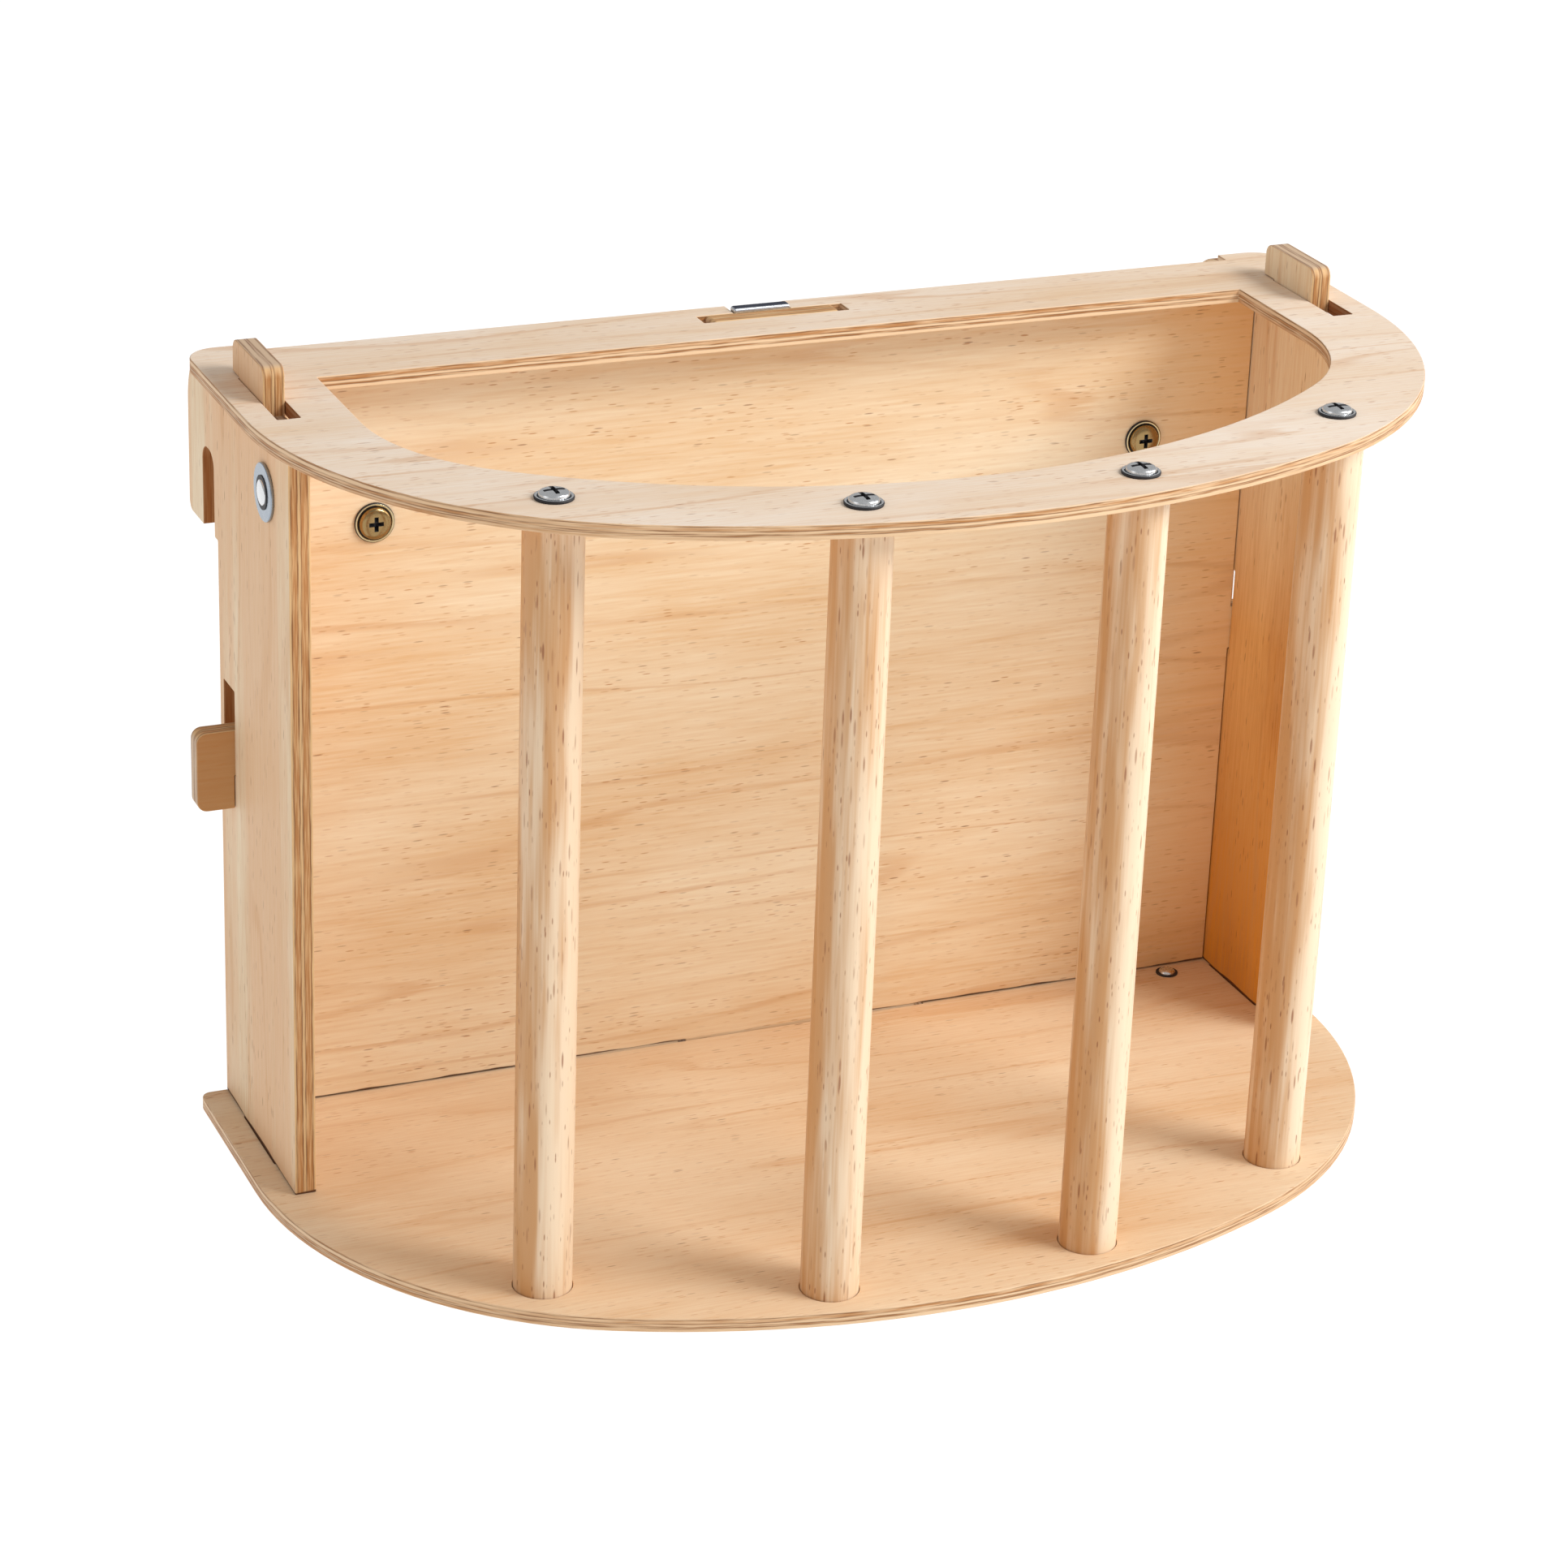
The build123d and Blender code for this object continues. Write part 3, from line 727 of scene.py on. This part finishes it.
def standing_at(centre, outward):
    """The matrix that puts a piece made about +Z onto a point, facing outward."""
    turn = Vector(outward).to_track_quat("Z", "Y").to_matrix().to_4x4()
    return Matrix.Translation(Vector(centre)) @ turn


def finish_mesh(name, form, placing=Matrix.Identity(4)):
    """Links a bmesh as a smooth-shaded object whose sharp edges stay sharp."""
    bmesh.ops.recalc_face_normals(form, faces=form.faces)
    mesh = bpy.data.meshes.new(name)
    form.to_mesh(mesh)
    form.free()
    mesh.transform(placing)
    mesh.shade_smooth()
    mesh.set_sharp_from_angle(angle=CREASE)
    piece = bpy.data.objects.new(name, mesh)
    bpy.context.scene.collection.objects.link(piece)
    return piece


def turned(form, profile, finishes, segments=64):
    """Turns (radius, height) points about +Z, as a lathe would; finishes numbers the runs."""
    turns = [2 * math.pi * step / segments for step in range(segments)]
    rings = []
    for radius, height in profile:
        if radius == 0:
            rings.append([form.verts.new((0, 0, height))] * segments)
            continue
        places = [(radius * math.cos(turn), radius * math.sin(turn), height) for turn in turns]
        rings.append([form.verts.new(place) for place in places])
    for run, (low, high) in enumerate(zip(rings, rings[1:])):
        for step in range(segments):
            after = (step + 1) % segments
            # On the axis, two of the four corners are one vertex
            corners = dict.fromkeys((low[step], low[after], high[after], high[step]))
            form.faces.new(list(corners)).material_index = finishes.get(run, COLLAR)


def cross_punch(reach, width, bottom, top):
    """A cross punch that tapers from top to bottom height, whose faces take the painted shade of
    the recess.
    """
    form = bmesh.new()
    taper = 0.55
    for long_x, long_y in ((reach, width / 2), (width / 2, reach)):
        corners = [
            form.verts.new((side_x * long_x * share, side_y * long_y * share, height))
            for share, height in ((taper, bottom), (1.0, top))
            for side_x, side_y in ((-1, -1), (1, -1), (1, 1), (-1, 1))
        ]
        flanks = [(low, (low + 1) % 4, (low + 1) % 4 + 4, low + 4) for low in range(4)]
        for face in ((3, 2, 1, 0), (4, 5, 6, 7), *flanks):
            form.faces.new([corners[place] for place in face]).material_index = PAINTED_SHADE
    return form


def punched(name, form, punch, materials):
    """The bmesh with the punch cut out of it, as a finished piece about +Z."""
    head = finish_mesh(name, form)
    tool = finish_mesh(f"{name}_punch", punch)
    put_on(head, *materials)
    put_on(tool, *materials)
    cut = head.modifiers.new("Cross recess", "BOOLEAN")
    cut.operation = "DIFFERENCE"
    cut.solver = "EXACT"
    cut.use_self = True
    cut.object = tool
    bpy.context.view_layer.update()
    view = bpy.context.evaluated_depsgraph_get()
    mesh = bpy.data.meshes.new_from_object(head.evaluated_get(view))
    head.modifiers.clear()
    head.data = mesh
    bpy.data.objects.remove(tool)
    return head


def threaded(form, radius, start, end, sizes, segments=20):
    """Adds a screw thread to the bmesh: one ridge that winds up +Z from start to end."""
    pitch = sizes.thread_pitch
    root = radius - 1.2 * sizes.thread_depth  # sunk into the core, so that no gap shows
    ridge = ((root, 0.0), (radius, 0.45 * pitch), (radius, 0.55 * pitch), (root, pitch))
    turns = int((end - start) / pitch) - 1
    before = None
    for step in range(turns * segments + 1):
        turn = 2 * math.pi * step / segments
        height = start + pitch * step / segments
        edge = [
            form.verts.new((reach * math.cos(turn), reach * math.sin(turn), height + rise))
            for reach, rise in ridge
        ]
        if before is None:
            form.faces.new(edge)
        else:
            for place in range(4):
                after = (place + 1) % 4
                form.faces.new((before[place], before[after], edge[after], edge[place]))
        before = edge
    form.faces.new(before[::-1])


def quarter(steps=9):
    """The (cosine, sine) of each step up a quarter turn, without its start."""
    turns = [math.pi / 2 * step / steps for step in range(1, steps + 1)]
    return [(math.cos(turn), math.sin(turn)) for turn in turns]


def collared_head(radius, height, sizes):
    """Outline of a screw head with a rounded collar, a groove and a dome, and its finishes."""
    collar = sizes.collar_height
    half = sizes.collar_width / 2
    foot = radius - 0.1 * MM
    points = [(foot, 0.0), (foot, 0.35 * collar)]
    for step in range(7):
        turn = math.pi * step / 6
        points.append(
            (radius - half + half * math.cos(turn), 0.5 * collar * (1 + math.sin(turn)))
        )
    dome = radius - sizes.collar_width - sizes.groove_width
    points += [(dome, 0.5 * collar), (dome, 0.85 * collar)]
    # Painted shade under the collar, on its flank and in the groove
    finishes = dict.fromkeys((0, 1, 2, 3, 8, 9), PAINTED_SHADE)
    rise = height - points[-1][1]
    blunt = 0.6  # 1 gives a round dome
    for cosine, sine in quarter():
        finishes[len(points) - 1] = DOME
        points.append((dome * cosine**blunt, height - rise * (1 - sine**blunt)))
    points[-1] = (0.0, height)
    return points, finishes


def low_dome(radius, height):
    """Outline of a low dome on a flat rim painted with shade, and its finishes."""
    rim = 0.25 * height
    dome = 0.75 * radius
    blunt = 0.8
    points = [(radius, 0.0), (radius, rim), (dome, rim)]
    points += [(dome * cosine, rim + (height - rim) * sine**blunt) for cosine, sine in quarter()]
    points[-1] = (0.0, height)
    return points, {0: PAINTED_SHADE, 1: PAINTED_SHADE}


def fit_screw(name, outward, seat, outline, shank, sizes, materials, thread_from=0.0, cross=0.0):
    """Replaces a CAD screw: a head turned to the outline, its punched cross and a shank.

    The shank has a thread where it is further than thread_from from the seat.
    """
    low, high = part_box(name)
    axis = [abs(part) for part in outward].index(1)
    centre = (low + high) / 2
    tip = low[axis] if outward[axis] > 0 else high[axis]
    centre[axis] = seat
    length = abs(seat - tip)
    points, finishes = outline
    height = points[-1][1]
    chamfer = min(0.25 * shank, 0.5 * MM)
    core = shank - (sizes.thread_depth if thread_from else 0.0)
    shaft = [(0.0, -length), (core - chamfer, -length), (core, chamfer - length)]
    if thread_from:
        shaft += [(core, -thread_from), (shank, -thread_from)]
    shaft.append((shank, 0.0))
    form = bmesh.new()
    turned(form, shaft + points, {len(shaft) + run: mark for run, mark in finishes.items()})
    if cross:
        punch = cross_punch(cross, sizes.recess_width, 0.3 * height, height + 0.3 * MM)
        head = punched(f"{name}_finished", form, punch, materials)
    else:
        head = finish_mesh(f"{name}_finished", form)
        put_on(head, *materials)
    if thread_from:
        form = bmesh.new()
        form.from_mesh(head.data)
        threaded(form, shank, chamfer - length, -thread_from, sizes)
        form.to_mesh(head.data)
        form.free()
    head.data.transform(standing_at(centre, outward))
    head.data.set_sharp_from_angle(angle=CREASE)
    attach(head, "feeder_body")
    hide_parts(name)
    return head


# ---- Stage -------------------------------------------------------------------------------

SOFTBOXES = (  # name, place, width in metres and power in watts
    ("key_softbox", (1.25, -1.15, 1.45), 1.0, 33.0),
    ("rim_softbox", (1.9, -0.5, 0.7), 1.0, 9.0),
    ("fill_softbox", (-2.2, -0.3, 0.9), 1.4, 4.2),
)
ROOM_STRENGTH = 0.47
FLOOR_HALF = 14.0
FLOOR_DROP = 0.3 * MM
FLOOR_REFLECTION = 0.15
FLOOR_GLOW = 0.97
CAMERA_AZIMUTH = math.radians(23.588)
CAMERA_DROP = math.radians(23.496)
CAMERA_ROLL = math.radians(2.159)
CAMERA_PLACE = Vector((-0.473878, -1.116437, 0.606621))
CAMERA_LENS = 102.38
CAMERA_SENSOR = 36.0


def build_floor(tint):
    """A wide opal floor, lit through like a light table, that can't be seen from below."""
    form = bmesh.new()
    bmesh.ops.create_grid(form, x_segments=1, y_segments=1, size=FLOOR_HALF)
    floor = finish_mesh("studio_floor", form, Matrix.Translation((0, 0, -FLOOR_DROP)))
    material, tree = new_material("pale_studio_floor")
    opal = add_node(
        tree,
        "ShaderNodeBsdfPrincipled",
        {
            "Base Color": dimmed(tint, FLOOR_REFLECTION),
            "Roughness": 0.9,
            "Specular IOR Level": 0.0,
            "Emission Color": tint,
            "Emission Strength": FLOOR_GLOW,
        },
    )
    below = add_node(tree, "ShaderNodeNewGeometry").outputs["Backfacing"]
    clear = add_node(tree, "ShaderNodeBsdfTransparent")
    shown = add_node(tree, "ShaderNodeMixShader", {0: below, 1: opal, 2: clear})
    add_node(tree, "ShaderNodeOutputMaterial", {"Surface": shown})
    put_on(floor, material)


def build_lights(scene):
    """A dim white room, a key light and a rim light from the right, and a fill from the left."""
    world = bpy.data.worlds.new("white_studio")
    world.use_nodes = True
    world.node_tree.nodes.clear()
    walls = add_node(
        world.node_tree,
        "ShaderNodeBackground",
        {"Color": (1.0, 1.0, 1.0), "Strength": ROOM_STRENGTH},
    )
    add_node(world.node_tree, "ShaderNodeOutputWorld", {"Surface": walls})
    scene.world = world
    middle = (CAD_BOX[0] + CAD_BOX[1]) / 2
    for name, place, width, power in SOFTBOXES:
        light = bpy.data.lights.new(name, "AREA")
        light.shape = "DISK"
        light.size = width
        light.energy = power
        lamp = bpy.data.objects.new(name, light)
        lamp.location = place
        lamp.rotation_mode = "QUATERNION"
        lamp.rotation_quaternion = (middle - lamp.location).to_track_quat("-Z", "Y")
        scene.collection.objects.link(lamp)


def build_camera(scene):
    """A long lens, well above the ring and to the left of the middle."""
    forward = Vector(
        (
            math.sin(CAMERA_AZIMUTH) * math.cos(CAMERA_DROP),
            math.cos(CAMERA_AZIMUTH) * math.cos(CAMERA_DROP),
            -math.sin(CAMERA_DROP),
        )
    )
    level = forward.cross(Vector((0, 0, 1))).normalized()
    upward = level.cross(forward)
    right = level * math.cos(CAMERA_ROLL) + upward * math.sin(CAMERA_ROLL)
    up = upward * math.cos(CAMERA_ROLL) - level * math.sin(CAMERA_ROLL)
    data = bpy.data.cameras.new("studio_camera")
    data.lens = CAMERA_LENS
    data.sensor_width = CAMERA_SENSOR
    data.clip_start = 0.05
    data.clip_end = 60.0
    camera = bpy.data.objects.new("studio_camera", data)
    turn = Matrix((right, up, -forward)).transposed().to_4x4()
    camera.matrix_world = Matrix.Translation(CAMERA_PLACE) @ turn
    scene.collection.objects.link(camera)
    scene.camera = camera


# ---- Operators: the pieces and the stage -------------------------------------------------

TAB_SLOTS = ((X, 145 * MM, 165 * MM), (Y, 16 * MM, 64 * MM))
HOOK_AND_MORTISE = ((Y, 2 * MM, 14.5 * MM),)
PLATES = (
    Sheet("base_board", "sanded_birch_plywood", Z, X, PLATE_PLIES, base_veneer),
    Sheet("top_ring", "sanded_birch_plywood", Z, X, PLATE_PLIES, ring_veneer, TAB_SLOTS),
)
# The veneer's grain runs up the side boards and along the back board
BOARDS = (
    Sheet(
        "left_side_board", "pine_faced_plywood", X, Z, BOARD_PLIES, banded_veneer, HOOK_AND_MORTISE
    ),
    Sheet(
        "right_side_board",
        "pine_faced_plywood",
        X,
        Z,
        BOARD_PLIES,
        shaded_inner_veneer,
        HOOK_AND_MORTISE,
    ),
    Sheet("back_board", "pine_faced_plywood", Y, X, BOARD_PLIES, back_veneer_with_painted_light),
)
# Shank radii, and the reach of a cross recess from the screw's axis
WOOD_SCREW = 2.0 * MM
CLAMP_SCREW = 2.5 * MM
BASE_SCREW = 1.7 * MM
RING_CROSS = 3.2 * MM
CLAMP_CROSS = 2.3 * MM


def dress_sheets(scene, sheets):
    """Gives plywood pieces their woods and their sanded arrises."""
    for sheet in sheets:
        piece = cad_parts[sheet.node]
        put_on(piece, plywood(sheet, scene.feeder_colours))
        soften(piece, scene.feeder_sizes.board_arris)


class HAYFEEDER_OT_plates(bpy.types.Operator):
    """Dress the base board and the top ring in sanded birch plywood"""

    bl_idname = "hayfeeder.plates"
    bl_label = "Base and Ring"

    def execute(self, context):
        dress_sheets(context.scene, PLATES)
        return {"FINISHED"}


class HAYFEEDER_OT_boards(bpy.types.Operator):
    """Dress the side boards and the back board in pine-faced plywood"""

    bl_idname = "hayfeeder.boards"
    bl_label = "Side and Back Boards"

    def execute(self, context):
        dress_sheets(context.scene, BOARDS)
        return {"FINISHED"}


class HAYFEEDER_OT_dowels(bpy.types.Operator):
    """Dress the four dowels in turned beech"""

    bl_idname = "hayfeeder.dowels"
    bl_label = "Dowels"

    def execute(self, context):
        beech = turned_beech(context.scene.feeder_colours)
        for name in DOWELS:
            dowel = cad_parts[f"{name}_dowel"]
            put_on(dowel, beech)
            dowel.data.shade_smooth()
            dowel.data.set_sharp_from_angle(angle=math.radians(40))
        return {"FINISHED"}


class HAYFEEDER_OT_ring_screws(bpy.types.Operator):
    """Fit the cross-head screws that hold the ring on the dowels"""

    bl_idname = "hayfeeder.ring_screws"
    bl_label = "Ring Screws"

    def execute(self, context):
        sizes = context.scene.feeder_sizes
        colours = context.scene.feeder_colours
        zinc = plated_steel("bright_zinc_ring_screws", colours)
        metals = (zinc, painted_screw_shade(colours), zinc)
        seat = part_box("top_ring")[1].z
        for name in DOWELS:
            node = f"{name}_dowel_screw"
            low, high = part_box(node)
            outline = collared_head((high.x - low.x) / 2, high.z - seat, sizes)
            screw = fit_screw(
                node, (0, 0, 1), seat, outline, WOOD_SCREW, sizes, metals, cross=RING_CROSS
            )
        return {"FINISHED"}


class HAYFEEDER_OT_cage_clamps(bpy.types.Operator):
    """Fit the two clamp screws with their threads, and dress their washers and wing nuts"""

    bl_idname = "hayfeeder.cage_clamps"
    bl_label = "Cage Clamps"

    def execute(self, context):
        sizes = context.scene.feeder_sizes
        colours = context.scene.feeder_colours
        yellow = plated_steel("yellow_zinc_screw_collars", colours)
        bronze = plated_steel("bronzed_zinc_screw_domes", colours)
        zinc = plated_steel("blue_zinc_washers_and_nuts", colours)
        metals = (yellow, painted_screw_shade(colours), bronze)
        board_front, board_rear = (corner.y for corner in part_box("back_board"))
        for side in SIDES:
            node = f"{side}_clamp_screw"
            low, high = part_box(node)
            outline = collared_head((high.x - low.x) / 2, board_front - low.y, sizes)
            screw = fit_screw(
                node,
                (0, -1, 0),
                board_front,
                outline,
                CLAMP_SCREW,
                sizes,
                metals,
                thread_from=board_rear - board_front,
                cross=CLAMP_CROSS,
            )
            for part, arris in (
                ("clamp_washer", sizes.washer_arris),
                ("wing_nut", sizes.wing_arris),
            ):
                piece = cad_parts[f"{side}_{part}"]
                put_on(piece, zinc)
                soften(piece, arris, segments=3)
        return {"FINISHED"}


class HAYFEEDER_OT_side_anchors(bpy.types.Operator):
    """Fit the low domed screws on the side boards and dress their washers"""

    bl_idname = "hayfeeder.side_anchors"
    bl_label = "Side Anchors"

    def execute(self, context):
        sizes = context.scene.feeder_sizes
        colours = context.scene.feeder_colours
        zinc = plated_steel("bright_zinc_side_anchors", colours)
        blue = plated_steel("blue_zinc_side_washers", colours)
        metals = (zinc, painted_screw_shade(colours))
        for side, sign in SIDES.items():
            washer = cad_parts[f"{side}_anchor_washer"]
            put_on(washer, blue)
            soften(washer, sizes.washer_arris, segments=3)
            outer = (sign + 1) // 2  # which of a box's two corners is the outer one
            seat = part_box(f"{side}_anchor_washer")[outer].x
            node = f"{side}_anchor_screw"
            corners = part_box(node)
            radius = (corners[1].z - corners[0].z) / 2
            outline = low_dome(radius, abs(corners[outer].x - seat))
            screw = fit_screw(node, (sign, 0, 0), seat, outline, WOOD_SCREW, sizes, metals)
        return {"FINISHED"}


class HAYFEEDER_OT_base_screw(bpy.types.Operator):
    """Fit the small screw in the right rear corner of the base"""

    bl_idname = "hayfeeder.base_screw"
    bl_label = "Base Screw"

    def execute(self, context):
        sizes = context.scene.feeder_sizes
        colours = context.scene.feeder_colours
        zinc = plated_steel("bright_zinc_base_screw", colours)
        metals = (zinc, painted_screw_shade(colours))
        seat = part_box("base_board")[1].z
        low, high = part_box("base_screw")
        outline = low_dome((high.x - low.x) / 2, high.z - seat)
        screw = fit_screw("base_screw", (0, 0, 1), seat, outline, BASE_SCREW, sizes, metals)
        return {"FINISHED"}


class HAYFEEDER_OT_hanger_strap(bpy.types.Operator):
    """Dress the steel hanger strap and its two screws"""

    bl_idname = "hayfeeder.hanger_strap"
    bl_label = "Hanger Strap"

    def execute(self, context):
        sizes = context.scene.feeder_sizes
        colours = context.scene.feeder_colours
        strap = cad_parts["hanger_strap"]
        put_on(strap, sheared_strap(colours))
        soften(strap, sizes.strap_arris, segments=3)
        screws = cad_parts["strap_screws"]
        put_on(screws, plated_steel("bright_zinc_strap_screws", colours))
        soften(screws, sizes.washer_arris, segments=3)
        return {"FINISHED"}


class HAYFEEDER_OT_stage(bpy.types.Operator):
    """Set up the pale floor, the soft studio light and the camera"""

    bl_idname = "hayfeeder.stage"
    bl_label = "Studio"

    def execute(self, context):
        scene = context.scene
        build_floor(scene.feeder_colours.floor)
        build_lights(scene)
        build_camera(scene)
        scene.view_settings.view_transform = "Standard"
        return {"FINISHED"}


# ---- Panel and registration --------------------------------------------------------------

STEPS = (
    HAYFEEDER_OT_plates,
    HAYFEEDER_OT_boards,
    HAYFEEDER_OT_dowels,
    HAYFEEDER_OT_ring_screws,
    HAYFEEDER_OT_cage_clamps,
    HAYFEEDER_OT_side_anchors,
    HAYFEEDER_OT_base_screw,
    HAYFEEDER_OT_hanger_strap,
    HAYFEEDER_OT_stage,
)


class HAYFEEDER_PT_sidebar(bpy.types.Panel):
    """Lists the feeder's sizes, colours and building steps"""

    bl_idname = "HAYFEEDER_PT_sidebar"
    bl_label = "Hay Feeder"
    bl_space_type = "VIEW_3D"
    bl_region_type = "UI"
    bl_category = "Hay Feeder"

    def draw(self, context):
        for group in (context.scene.feeder_sizes, context.scene.feeder_colours):
            column = self.layout.column(align=True)
            for name in group.__annotations__:
                column.prop(group, name)
        column = self.layout.column()
        for step in STEPS:
            column.operator(step.bl_idname)


CLASSES = (FeederSizes, FeederColours, *STEPS, HAYFEEDER_PT_sidebar)


def register():
    """Registers the classes and hangs the feeder's properties on the scene."""
    for cls in CLASSES:
        bpy.utils.register_class(cls)
    bpy.types.Scene.feeder_sizes = bpy.props.PointerProperty(type=FeederSizes)
    bpy.types.Scene.feeder_colours = bpy.props.PointerProperty(type=FeederColours)


def unregister():
    """Takes the properties and the classes away again."""
    del bpy.types.Scene.feeder_colours
    del bpy.types.Scene.feeder_sizes
    for cls in reversed(CLASSES):
        bpy.utils.unregister_class(cls)


def main():
    """Builds the whole scene."""
    register()
    bpy.ops.hayfeeder.plates()
    bpy.ops.hayfeeder.boards()
    bpy.ops.hayfeeder.dowels()
    bpy.ops.hayfeeder.ring_screws()
    bpy.ops.hayfeeder.cage_clamps()
    bpy.ops.hayfeeder.side_anchors()
    bpy.ops.hayfeeder.base_screw()
    bpy.ops.hayfeeder.hanger_strap()
    bpy.ops.hayfeeder.stage()


if __name__ == "__main__":
    main()
